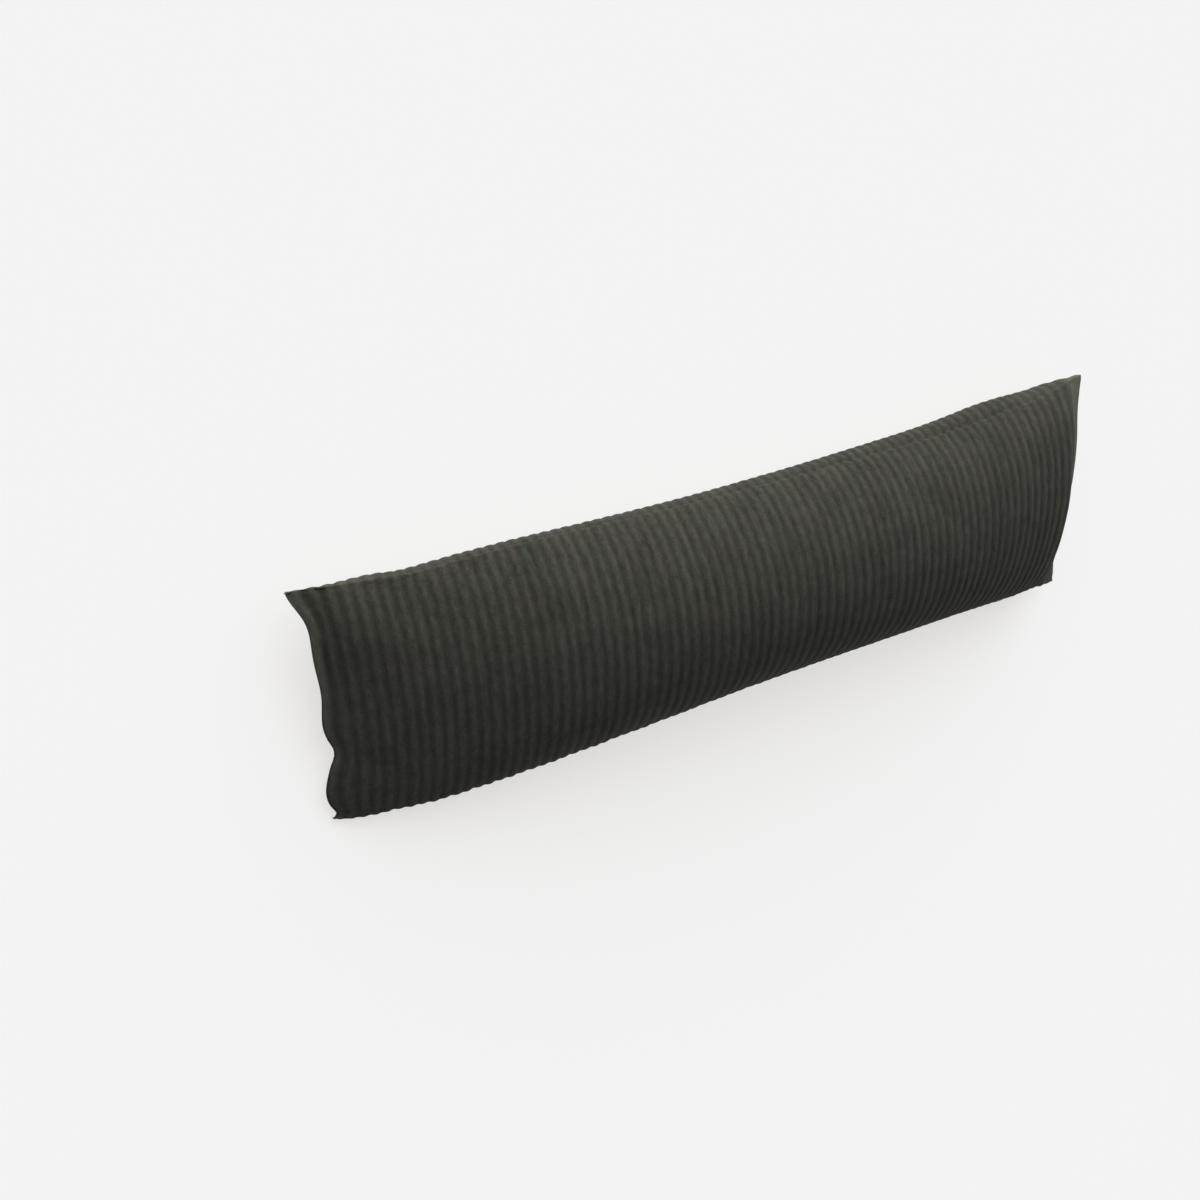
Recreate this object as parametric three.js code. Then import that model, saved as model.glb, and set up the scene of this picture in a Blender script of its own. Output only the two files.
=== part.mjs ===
import * as THREE from 'three';

// A long cushion in wide-wale corduroy, filled softly and lying on its back.
// Lengths are millimetres. +X runs along the cushion, +Y across it, +Z out of its face.
// The origin is on the resting surface, under the middle of the outline box.

// Both panels are cut to the same rectangle, measured between the seams.
const CUT_LENGTH = 1020;
const CUT_WIDTH = 300;

// The ribs of the corduroy run across the short way of both panels.
const WALE_COUNT = 79;
const WALE_RELIEF = 2.0;

// The ribs flatten over this much cloth beside a seam, and over this height above the floor.
const SEAM_FADE = 12;
const REST_FADE = 8;

// The stitches draw the seams in by this much.
const SEAM_GROOVE = 1.5;

// Across a section, the face falls from its crown to the seams as (1 - t * t) to this power.
const FACE_FULLNESS = 0.6;

// Each long side of the back panel is a round wall between its seam and the resting surface.
// This is the depth of its rounding, from the widest line to where it rests.
const WALL_DEPTH = 50;

// This share of the steps across the back panel lies in its two walls.
const WALL_SHARE = 2 / 3;

// One row for each section across the cushion.
// station: place along the flat panel, from its middle
// seam: height of the seams above the resting surface
// crown: height of the filled face above the seams
// upper, lower: how far the upper and the lower seam wander in +Y from an even line
// roll: how far the walls roll the seams up over their widest line, in degrees
const SECTIONS = [
  { station: -510, seam: 47, crown: 30, upper: 5, lower: 6, roll: 0 },
  { station: -450, seam: 48, crown: 28, upper: 0, lower: 4, roll: 2 },
  { station: -400, seam: 49, crown: 31, upper: -5, lower: 1, roll: 4 },
  { station: -345, seam: 50, crown: 39, upper: -2, lower: 0, roll: 6 },
  { station: -250, seam: 51, crown: 52, upper: 2, lower: -2, roll: 8 },
  { station: -125, seam: 52, crown: 63, upper: 3, lower: -2, roll: 12 },
  { station: 0, seam: 52, crown: 69, upper: 3, lower: -1, roll: 18 },
  { station: 125, seam: 52, crown: 71, upper: 3, lower: -2, roll: 24 },
  { station: 250, seam: 51, crown: 68, upper: 1, lower: -3, roll: 30 },
  { station: 350, seam: 50, crown: 59, upper: -2, lower: -2, roll: 34 },
  { station: 430, seam: 49, crown: 46, upper: -3, lower: -2, roll: 26 },
  { station: 475, seam: 48, crown: 35, upper: -1, lower: 0, roll: 14 },
  { station: 510, seam: 47, crown: 24, upper: 3, lower: 3, roll: 8 },
];

// One row for each end of the cushion, -1 on the left and 1 on the right.
// rise: length of cloth over which the filling reaches its full height
// arch: how far the middle of the end seam rides above the line between its ears
const ENDS = [
  { side: -1, rise: 90, arch: -6 },
  { side: 1, rise: 40, arch: 20 },
];

// One row for each ear, at a corner of the cushion.
// end, seam: -1 or 1 for left or right, and for lower or upper
// reach: how far it stands out along X
// lift: how far it curls up
// shift: how far it turns to +Y
const EARS = [
  { end: -1, seam: 1, reach: 19, lift: 20, shift: 3 },
  { end: -1, seam: -1, reach: 2, lift: -42, shift: 9 },
  { end: 1, seam: 1, reach: 8, lift: 16, shift: 1 },
  { end: 1, seam: -1, reach: 18, lift: -28, shift: 2 },
];

// One row for each bend of an end seam, which takes both panels with it.
// end: -1 on the left and 1 on the right
// across: its place, from the middle of the cut
// along, aside: how far it reaches in from the seam, and to both sides
// shift: how far it pushes the seam out, and below 0 how far in
const BENDS = [
  { end: -1, across: 72, along: 20, aside: 30, shift: -9 },
  { end: -1, across: -14, along: 20, aside: 20, shift: 8 },
  { end: -1, across: -38, along: 16, aside: 9, shift: -4 },
  { end: -1, across: -76, along: 22, aside: 30, shift: 13 },
  { end: -1, across: -118, along: 16, aside: 14, shift: -3 },
  { end: 1, across: 25, along: 16, aside: 34, shift: 6 },
  { end: 1, across: 4, along: 14, aside: 10, shift: 3 },
  { end: 1, across: -60, along: 16, aside: 24, shift: -2 },
];

// One row for each dent or swelling of the filled cloth, placed on the flat cut of the face.
// A fold beside a seam runs on over it into the back panel.
// station, across: its place, from the middle of the cut
// along, aside: how far it reaches each way
// height: how far it stands out, and below 0 how deep a dent is
const FOLDS = [
  { station: -488, across: 50, along: 9, aside: 70, height: -4 },
  { station: -425, across: 150, along: 26, aside: 22, height: 4 },
  { station: 400, across: 180, along: 60, aside: 28, height: 4 },
  { station: 475, across: 165, along: 30, aside: 28, height: 3 },
];

// What the ends and ears add dies out along the cushion over these lengths.
const FADE_LENGTH = { reach: 25, shift: 25, lift: 160, arch: 60 };

// Sections are cut at each crest and each valley of the ribs.
const COLUMNS = 2 * WALE_COUNT;
const COLUMN_STEP = CUT_LENGTH / COLUMNS;
const STEPS_ACROSS = 18;

// The width that a crown leaves is found by halving, over cloth measured in short steps.
const HALVINGS = 30;
const CLOTH_STEPS = 60;

// Even a steep stretch of cloth goes on by this share of its length along the cushion.
const LEAST_ADVANCE = 0.05;

const corduroy = new THREE.MeshStandardMaterial({
  color: 0x3a3b35,
  roughness: 0.95,
  metalness: 0,
});

// Reads one column of the section table at a station, by a smooth curve that never overshoots.
function readSections(column, station) {
  const last = SECTIONS.length - 1;
  const slopeAfter = (i) => (SECTIONS[i + 1][column] - SECTIONS[i][column])
    / (SECTIONS[i + 1].station - SECTIONS[i].station);
  const slopeAt = (i) => {
    if (i === 0) return slopeAfter(0);
    if (i === last) return slopeAfter(last - 1);
    const before = slopeAfter(i - 1);
    const after = slopeAfter(i);
    return before * after > 0 ? (2 * before * after) / (before + after) : 0;
  };
  let i = 0;
  while (i < last - 1 && station > SECTIONS[i + 1].station) i += 1;
  const span = SECTIONS[i + 1].station - SECTIONS[i].station;
  const f = (station - SECTIONS[i].station) / span;
  const g = 1 - f;
  const from = (1 + 2 * f) * g * g * SECTIONS[i][column];
  const to = (1 + 2 * g) * f * f * SECTIONS[i + 1][column];
  return from + to + f * g * span * (g * slopeAt(i) - f * slopeAt(i + 1));
}

// How far the filling has risen at a station: 0 at an end seam, 1 past the rise.
function fillAt(station) {
  const end = ENDS.find((row) => row.side * station >= 0);
  const inside = CUT_LENGTH / 2 - Math.abs(station);
  return Math.sin(Math.min(inside / end.rise, 1) * Math.PI / 2);
}

// Height of the face above the seams at t, which runs from -1 at the lower to 1 at the upper seam.
function faceHeight(crown, t) {
  return crown * Math.max(1 - t * t, 0) ** FACE_FULLNESS;
}

// Length of cloth from the middle of a section to its seam.
function clothAcross(halfWidth, crown) {
  let length = 0;
  let y = 0;
  let z = crown;
  for (let k = 1; k <= CLOTH_STEPS; k += 1) {
    const t = Math.sin(k / CLOTH_STEPS * Math.PI / 2);
    length += Math.hypot(halfWidth * t - y, faceHeight(crown, t) - z);
    y = halfWidth * t;
    z = faceHeight(crown, t);
  }
  return length;
}

// The cloth doesn't stretch, so the sides draw in where the crown is high.
function halfWidthUnder(crown) {
  let narrow = 0;
  let wide = CUT_WIDTH / 2;
  for (let k = 0; k < HALVINGS; k += 1) {
    const middle = (narrow + wide) / 2;
    if (clothAcross(middle, crown) < CUT_WIDTH / 2) narrow = middle;
    else wide = middle;
  }
  return (narrow + wide) / 2;
}

// How much is left at a station of what an end adds at its seam.
function fadeFromEnd(side, station, quantity) {
  return Math.exp((side * station - CUT_LENGTH / 2) / FADE_LENGTH[quantity]);
}

// What the ears add at a station and at t, for one column of their table.
function earOffset(quantity, station, t) {
  let sum = 0;
  for (const ear of EARS) {
    const across = ((1 + ear.seam * t) / 2) ** 2;
    sum += ear[quantity] * fadeFromEnd(ear.end, station, quantity) * across;
  }
  return sum;
}

// How far the bends of the end seams push a place on the cut away from the middle.
function bendOutward(station, across) {
  let sum = 0;
  for (const bend of BENDS) {
    const inward = (bend.end * CUT_LENGTH / 2 - station) / bend.along;
    const beside = (across - bend.across) / bend.aside;
    sum += bend.shift * Math.exp(-(inward ** 2) - beside ** 2);
  }
  return sum;
}

// Everything that is the same all along one section.
function makeSection(station) {
  const fill = fillAt(station);
  const seam = readSections('seam', station);
  const crown = readSections('crown', station) * fill;
  const halfWidth = halfWidthUnder(crown);
  const upper = halfWidth + readSections('upper', station);
  const lower = -halfWidth + readSections('lower', station);
  const roll = THREE.MathUtils.degToRad(readSections('roll', station));
  return { station, fill, seam, crown, upper, lower, roll };
}

// The points across a panel are closest at its seams, where it bends most.
function stepAcross(j) {
  const u = 2 * j / STEPS_ACROSS - 1;
  return { u, t: Math.sin(u * Math.PI / 2) };
}

function isSeam(i, j) {
  return i === 0 || i === COLUMNS || j === 0 || j === STEPS_ACROSS;
}

// The place across the cushion at t, before the walls of the back bulge.
function acrossAt(section, t) {
  const middle = (section.upper + section.lower) / 2;
  const half = (section.upper - section.lower) / 2;
  return middle + half * t + earOffset('shift', section.station, t);
}

// The height of the seams, carried across the cushion at t.
function seamLevel(section, t) {
  const { station, seam } = section;
  let arch = 0;
  for (const end of ENDS) arch += end.arch * fadeFromEnd(end.side, station, 'arch') * (1 - t * t);
  return seam + arch + earOffset('lift', station, t);
}

function facePoint(section, j) {
  const { t } = stepAcross(j);
  const z = seamLevel(section, t) + faceHeight(section.crown, t);
  return new THREE.Vector3(0, acrossAt(section, t), z);
}

// The back panel has a round wall under each long seam, and a flat between them that rests.
function backPoint(section, j) {
  const { u, t } = stepAcross(j);
  const { fill, roll } = section;
  const down = Math.min((1 - Math.abs(u)) / WALL_SHARE, 1);
  const angle = THREE.MathUtils.lerp(roll, -Math.PI / 2, down);
  const depth = (Math.sin(roll) - Math.sin(angle)) / (1 + Math.sin(roll));
  const inward = WALL_DEPTH * (Math.cos(roll) - Math.cos(angle));
  const wall = acrossAt(section, Math.sign(u)) - Math.sign(u) * inward;
  const filled = wall * Math.min(Math.abs(u) / (1 - WALL_SHARE), 1);
  const y = THREE.MathUtils.lerp(acrossAt(section, t), filled, fill);
  const z = seamLevel(section, t) * (1 - fill * depth);
  return new THREE.Vector3(0, y, z);
}

// Spreads both panels along X, so that the cloth of the face keeps its length.
function layAlong(sections, face, back) {
  const advance = (i, j) => {
    const drop = face[i][j].z - face[i - 1][j].z;
    const level = Math.sqrt(Math.max(COLUMN_STEP ** 2 - drop ** 2, 0));
    return Math.max(level, LEAST_ADVANCE * COLUMN_STEP);
  };
  const middle = COLUMNS / 2;
  for (let j = 0; j <= STEPS_ACROSS; j += 1) {
    for (let i = middle + 1; i <= COLUMNS; i += 1) face[i][j].x = face[i - 1][j].x + advance(i, j);
    for (let i = middle; i > 0; i -= 1) face[i - 1][j].x = face[i][j].x - advance(i, j);
    sections.forEach(({ station }, i) => {
      const { u, t } = stepAcross(j);
      const outward = earOffset('reach', station, t) + bendOutward(station, u * CUT_WIDTH / 2);
      face[i][j].x += Math.sign(station) * outward;
      back[i][j].x = face[i][j].x;
    });
  }
}

// Draws the stitched edge of a panel in towards its middle.
function drawSeamsIn(panel) {
  panel.forEach((column, i) => {
    column[0].y += SEAM_GROOVE;
    column[STEPS_ACROSS].y -= SEAM_GROOVE;
    if (i === 0) column.forEach((point) => { point.x += SEAM_GROOVE; });
    if (i === COLUMNS) column.forEach((point) => { point.x -= SEAM_GROOVE; });
  });
}

// The way out of a panel at a point inside its seams. outward is 1 on the face and -1 on the back.
function wayOut(panel, i, j, outward) {
  const along = panel[i + 1][j].clone().sub(panel[i - 1][j]);
  const across = panel[i][j + 1].clone().sub(panel[i][j - 1]);
  return along.cross(across).normalize().multiplyScalar(outward);
}

// How much of a fold is felt at a place on the cut: 1 at its middle, and falling to 0 around it.
function foldShare(fold, station, across) {
  const ahead = (station - fold.station) / fold.along;
  const beside = (across - fold.across) / fold.aside;
  return Math.exp(-(ahead ** 2) - beside ** 2);
}

// Height of all folds at a place on the face, and at the same place on the back.
function foldHeights(station, across) {
  const overEnd = Math.sign(station) * CUT_LENGTH - station;
  const overSide = Math.sign(across) * CUT_WIDTH - across;
  const heights = { face: 0, back: 0 };
  for (const fold of FOLDS) {
    const fromEnd = foldShare(fold, overEnd, across);
    const fromSide = foldShare(fold, station, overSide);
    heights.face += fold.height * foldShare(fold, station, across);
    heights.back += fold.height * Math.max(fromEnd, fromSide);
  }
  return heights;
}

// Presses the folds into both panels, which keep sharing the points of their seams.
function foldPanels(sections, face, back) {
  const inside = (k, last) => Math.min(Math.max(k, 1), last - 1);
  const moves = face.map((column, i) => column.map((point, j) => {
    const inI = inside(i, COLUMNS);
    const inJ = inside(j, STEPS_ACROSS);
    const faceWay = wayOut(face, inI, inJ, 1);
    const backWay = wayOut(back, inI, inJ, -1);
    const { station } = sections[i];
    const heights = foldHeights(station, stepAcross(j).u * CUT_WIDTH / 2);
    if (!isSeam(i, j)) {
      return [faceWay.multiplyScalar(heights.face), backWay.multiplyScalar(heights.back)];
    }
    const move = faceWay.add(backWay).normalize().multiplyScalar(heights.face);
    return [move, move];
  }));
  moves.forEach((column, i) => column.forEach(([onFace, onBack], j) => {
    face[i][j].add(onFace);
    back[i][j].add(onBack);
    back[i][j].z = Math.max(back[i][j].z, 0);
  }));
}

// The panel with its ribs raised: crests on the odd columns, valleys on the even ones.
// outward is 1 on the face and -1 on the back.
function raiseWales(panel, sections, outward) {
  return panel.map((column, i) => column.map((point, j) => {
    if (isSeam(i, j)) return point.clone();
    const normal = wayOut(panel, i, j, outward);
    const clothToSide = CUT_WIDTH / 2 * (1 - Math.abs(stepAcross(j).u));
    const clothToEnd = CUT_LENGTH / 2 - Math.abs(sections[i].station);
    const fromSeam = Math.min(clothToSide, clothToEnd) / SEAM_FADE;
    const fromRest = point.z / REST_FADE;
    const relief = WALE_RELIEF / 2 * Math.min(fromSeam, fromRest, 1);
    return point.clone().addScaledVector(normal, i % 2 === 1 ? relief : -relief);
  }));
}

// Joins both panels into one closed body. They share the points of their seams.
function joinPanels(face, back) {
  const positions = [];
  const indices = [];
  const addPoint = (point) => {
    positions.push(point.x, point.y, point.z);
    return positions.length / 3 - 1;
  };
  const faceNumbers = face.map((column) => column.map(addPoint));
  const backNumbers = back.map((column, i) => column.map((point, j) => (
    isSeam(i, j) ? faceNumbers[i][j] : addPoint(point)
  )));
  for (let i = 0; i < COLUMNS; i += 1) {
    for (let j = 0; j < STEPS_ACROSS; j += 1) {
      const leansRight = (i < COLUMNS / 2) === (j < STEPS_ACROSS / 2);
      for (const [numbers, out] of [[faceNumbers, true], [backNumbers, false]]) {
        const a = numbers[i][j];
        const b = numbers[i + 1][j];
        const c = numbers[i + 1][j + 1];
        const d = numbers[i][j + 1];
        const corners = leansRight ? [a, b, c, a, c, d] : [a, b, d, b, c, d];
        indices.push(...(out ? corners : corners.reverse()));
      }
    }
  }
  const geometry = new THREE.BufferGeometry();
  geometry.setAttribute('position', new THREE.Float32BufferAttribute(positions, 3));
  geometry.setIndex(indices);
  return geometry;
}

function makeCushion() {
  const stations = Array.from({ length: COLUMNS + 1 }, (_, i) => i * COLUMN_STEP - CUT_LENGTH / 2);
  const steps = Array.from({ length: STEPS_ACROSS + 1 }, (_, j) => j);
  const sections = stations.map(makeSection);
  const face = sections.map((section) => steps.map((j) => facePoint(section, j)));
  const back = sections.map((section) => steps.map((j) => backPoint(section, j)));
  layAlong(sections, face, back);
  foldPanels(sections, face, back);
  drawSeamsIn(face);
  drawSeamsIn(back);
  const geometry = joinPanels(raiseWales(face, sections, 1), raiseWales(back, sections, -1));
  geometry.computeBoundingBox();
  const centre = geometry.boundingBox.getCenter(new THREE.Vector3());
  geometry.translate(-centre.x, -centre.y, 0);
  geometry.computeVertexNormals();
  const cushion = new THREE.Mesh(geometry, corduroy);
  cushion.name = 'cushion';
  return cushion;
}

const part = new THREE.Group();
part.add(makeCushion());

export default part;
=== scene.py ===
"""Dresses a long corduroy cushion that lies on its back, and sets it on a pale studio floor."""

import logging
import math
from dataclasses import dataclass, field
from enum import Enum

import bpy
import numpy as np
from mathutils import Matrix, Vector


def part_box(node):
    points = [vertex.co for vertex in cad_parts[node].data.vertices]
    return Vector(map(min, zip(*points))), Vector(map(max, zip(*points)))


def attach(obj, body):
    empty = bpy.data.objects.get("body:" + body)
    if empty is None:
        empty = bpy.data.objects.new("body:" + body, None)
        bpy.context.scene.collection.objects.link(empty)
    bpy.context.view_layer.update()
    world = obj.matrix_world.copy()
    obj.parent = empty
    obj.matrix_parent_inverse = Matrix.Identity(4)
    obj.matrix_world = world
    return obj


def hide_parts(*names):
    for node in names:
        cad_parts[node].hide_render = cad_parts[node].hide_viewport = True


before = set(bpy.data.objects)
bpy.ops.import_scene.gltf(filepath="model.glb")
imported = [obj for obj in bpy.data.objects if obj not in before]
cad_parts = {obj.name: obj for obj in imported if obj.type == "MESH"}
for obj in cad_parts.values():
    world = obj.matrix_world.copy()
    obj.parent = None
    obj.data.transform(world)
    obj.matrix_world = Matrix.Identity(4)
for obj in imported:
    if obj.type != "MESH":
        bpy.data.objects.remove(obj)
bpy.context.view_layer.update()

LOG = logging.getLogger("cushion")

# The form is worked out in millimetres and made in metres.
MM = 0.001

# Both panels are cut to the same rectangle, measured between the seams.
CUT_LENGTH = 1020.0
CUT_WIDTH = 300.0
WALE_COUNT = 79


class Panel(Enum):
    """The two pieces of cloth that are sewn together all round."""

    FACE = "face"
    BACK = "back"


class Quantity(Enum):
    """What an ear or an end adds at its seam, with the length over which it dies out."""

    REACH = ("reach", 25.0)
    SHIFT = ("shift", 25.0)
    LIFT = ("lift", 160.0)
    ARCH = ("arch", 60.0)

    def __init__(self, column: str, fade_length: float) -> None:
        """Keeps the name of the value and its length."""
        self.column = column
        self.fade_length = fade_length


@dataclass(frozen=True)
class Section:
    """One cut across the cushion, read at a place along the flat panel.

    The seam height, the crown above it and the wander of both seams are in millimetres, and
    the roll of the walls is in degrees.
    """

    station: float
    seam: float
    crown: float
    upper: float
    lower: float
    roll: float


@dataclass(frozen=True)
class End:
    """One end seam: how soon the filling rises beside it, and how far its middle arches up."""

    side: int
    rise: float
    arch: float


@dataclass(frozen=True)
class Ear:
    """One corner: how far it stands out, curls up and turns sideways."""

    end: int
    seam: int
    reach: float
    lift: float
    shift: float


@dataclass(frozen=True)
class Bend:
    """A bend of an end seam, which takes both panels with it.

    Its place across the cut, how far it reaches in and to both sides, and how far it pushes the
    seam out are in millimetres.
    """

    end: int
    across: float
    along: float
    aside: float
    shift: float


@dataclass(frozen=True)
class Fold:
    """A dent or a swelling of the cloth, placed on the flat cut of the face.

    A fold near a seam runs on over it into the back panel. Its place, its radii and its height
    are in millimetres, and a height below 0 is a dent. The turn is in degrees.
    """

    station: float
    across: float
    radius_along: float
    radius_across: float
    height: float
    turn: float = 0.0

    def weight(self, along: np.ndarray, across: np.ndarray) -> np.ndarray:
        """Says how much of the fold is felt at places on the cut.

        Args:
            along: Stations of the places.
            across: Places across the cut.

        Returns:
            1 at the middle of the fold, and falling to 0 around it.
        """
        angle = math.radians(self.turn)
        ahead = along - self.station
        aside = across - self.across
        a = (ahead * math.cos(angle) + aside * math.sin(angle)) / self.radius_along
        b = (aside * math.cos(angle) - ahead * math.sin(angle)) / self.radius_across
        return np.exp(-(a * a + b * b))


@dataclass
class ClothGrid:
    """Points of both panels on one grid of columns and rows, with the seams shared.

    face and back hold a point for each column and row. stations and steps say where the columns
    and the rows lie: along the cut in millimetres, and across it from -1 to 1.
    """

    face: np.ndarray
    back: np.ndarray
    stations: np.ndarray
    steps: np.ndarray

    def seam_mask(self) -> np.ndarray:
        """Returns True for each column and row that lies on a seam."""
        mask = np.zeros(self.face.shape[:2], dtype=bool)
        mask[[0, -1], :] = True
        mask[:, [0, -1]] = True
        return mask

    def numbers(self) -> tuple[np.ndarray, np.ndarray]:
        """Numbers the points of one closed mesh.

        Returns:
            The number of each face point and of each back point, the same on the seams.
        """
        columns, rows = self.face.shape[:2]
        face = np.arange(columns * rows).reshape(columns, rows)
        back = face.copy()
        inner = ~self.seam_mask()
        back[inner] = columns * rows + np.arange(int(inner.sum()))
        return face, back

    def quads(self) -> np.ndarray:
        """Returns the four corners of every quad, so that all of them look outwards."""
        sheets = []
        for panel, numbers in zip(Panel, self.numbers()):
            a = numbers[:-1, :-1].ravel()
            b = numbers[1:, :-1].ravel()
            c = numbers[1:, 1:].ravel()
            d = numbers[:-1, 1:].ravel()
            corners = [a, b, c, d] if panel is Panel.FACE else [d, c, b, a]
            sheets.append(np.stack(corners, axis=1))
        return np.concatenate(sheets)

    def gather(self, face: np.ndarray, back: np.ndarray) -> np.ndarray:
        """Puts values of both panels in the order of the closed mesh.

        Args:
            face: One value or point for each column and row of the face.
            back: The same for the back panel.

        Returns:
            One value or point for each point of the mesh.
        """
        flat = face.reshape(-1, *face.shape[2:])
        return np.concatenate([flat, back[~self.seam_mask()]])

    def scatter(self, values: np.ndarray) -> tuple[np.ndarray, np.ndarray]:
        """Reads values of the closed mesh back on the grid of each panel.

        Args:
            values: One value or point for each point of the mesh.

        Returns:
            The values of the face and of the back panel.
        """
        face, back = self.numbers()
        return values[face], values[back]

    def points(self) -> np.ndarray:
        """Returns every point of the closed mesh."""
        return self.gather(self.face, self.back)

    def normals(self) -> np.ndarray:
        """Returns the outward normal at every point of the closed mesh."""
        points = self.points()
        quads = self.quads()
        facing = np.cross(
            points[quads[:, 2]] - points[quads[:, 0]], points[quads[:, 3]] - points[quads[:, 1]]
        )
        total = np.zeros_like(points)
        for corner in range(4):
            np.add.at(total, quads[:, corner], facing)
        return total / np.maximum(np.linalg.norm(total, axis=1, keepdims=True), 1e-9)

    def moved(self, offsets: np.ndarray) -> "ClothGrid":
        """Moves every point.

        Args:
            offsets: How far each point of the closed mesh goes.

        Returns:
            A new grid.
        """
        face, back = self.scatter(self.points() + offsets)
        return ClothGrid(face, back, self.stations, self.steps)

    def refined(self, along: int, across: int) -> "ClothGrid":
        """Lays a finer grid through the same points by smooth curves.

        Args:
            along: How many columns each column becomes.
            across: How many rows each row becomes.

        Returns:
            A new grid.
        """
        face, back = (
            smooth_steps(smooth_steps(panel, along, 0), across, 1)
            for panel in (self.face, self.back)
        )
        stations = np.linspace(self.stations[0], self.stations[-1], face.shape[0])
        steps = np.linspace(self.steps[0], self.steps[-1], face.shape[1])
        return ClothGrid(face, back, stations, steps)


def smooth_steps(values: np.ndarray, parts: int, axis: int) -> np.ndarray:
    """Draws a smooth curve through values along one axis.

    Args:
        values: Points on a grid.
        parts: How many parts each step is cut into.
        axis: The axis along which the curve runs.

    Returns:
        The points with the new ones between them.
    """
    rows = np.moveaxis(values, axis, 0)
    padded = np.concatenate([2 * rows[:1] - rows[1:2], rows, 2 * rows[-1:] - rows[-2:-1]])
    count = len(rows) - 1
    p0, p1, p2, p3 = (padded[k : k + count] for k in range(4))
    out = np.empty((count * parts + 1, *rows.shape[1:]))
    for part in range(parts):
        f = part / parts
        out[part : count * parts : parts] = 0.5 * (
            2 * p1
            + (p2 - p0) * f
            + (2 * p0 - 5 * p1 + 4 * p2 - p3) * f**2
            + (3 * p1 - p0 - 3 * p2 + p3) * f**3
        )
    out[-1] = rows[-1]
    return np.moveaxis(out, 0, axis)


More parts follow.
